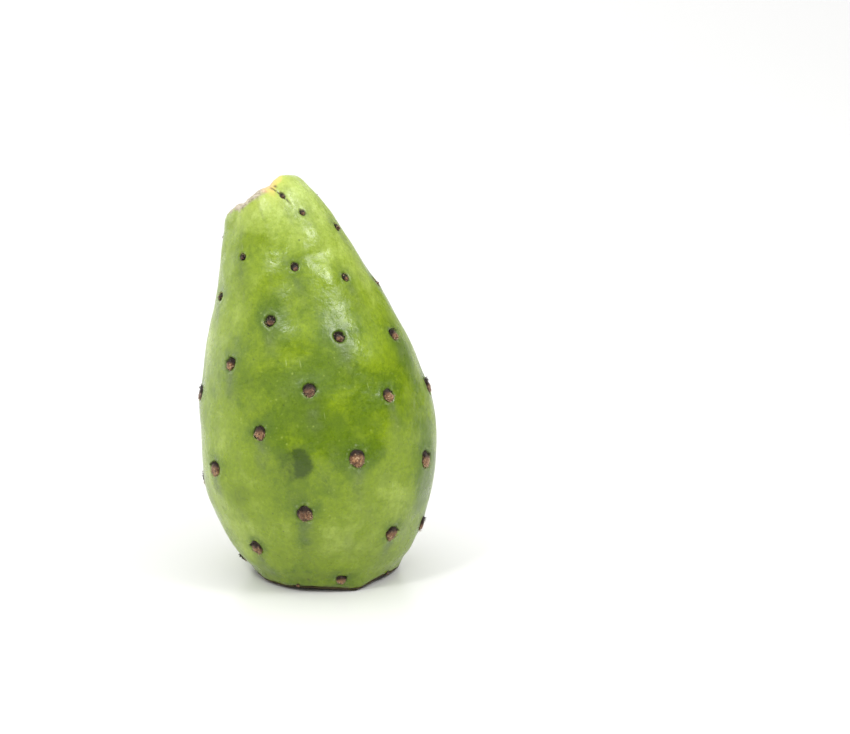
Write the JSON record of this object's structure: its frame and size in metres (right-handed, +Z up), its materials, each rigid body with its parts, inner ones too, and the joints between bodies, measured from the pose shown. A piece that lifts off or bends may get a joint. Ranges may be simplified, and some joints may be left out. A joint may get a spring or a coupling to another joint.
{
  "type": "prickly pear fruit",
  "caption": "Whole green prickly pear fruit standing on its flower-scar rim, pear-shaped and leaning, with felt areoles in spiral rows and a cut stem scar on top.",
  "frame": {"origin": "On the surface that the fruit stands on, under the middle of its bounding box", "axes": "+Z up towards the cut stem end; -Y is the front, the side that the picture shows; the neck leans towards -X"},
  "size_m": [0.0495, 0.0494, 0.0842],
  "materials": {
    "green_skin": "Waxy, semi-gloss yellow-green fruit skin, mottled darker round each areole; brown felt areoles; dry tan stem scar and flower scar. Gloss plastic stands in for waxed skin."
  },
  "bodies": {
    "root": {"prickly_pear_fruit": "green_skin"}
  },
  "joints": []
}
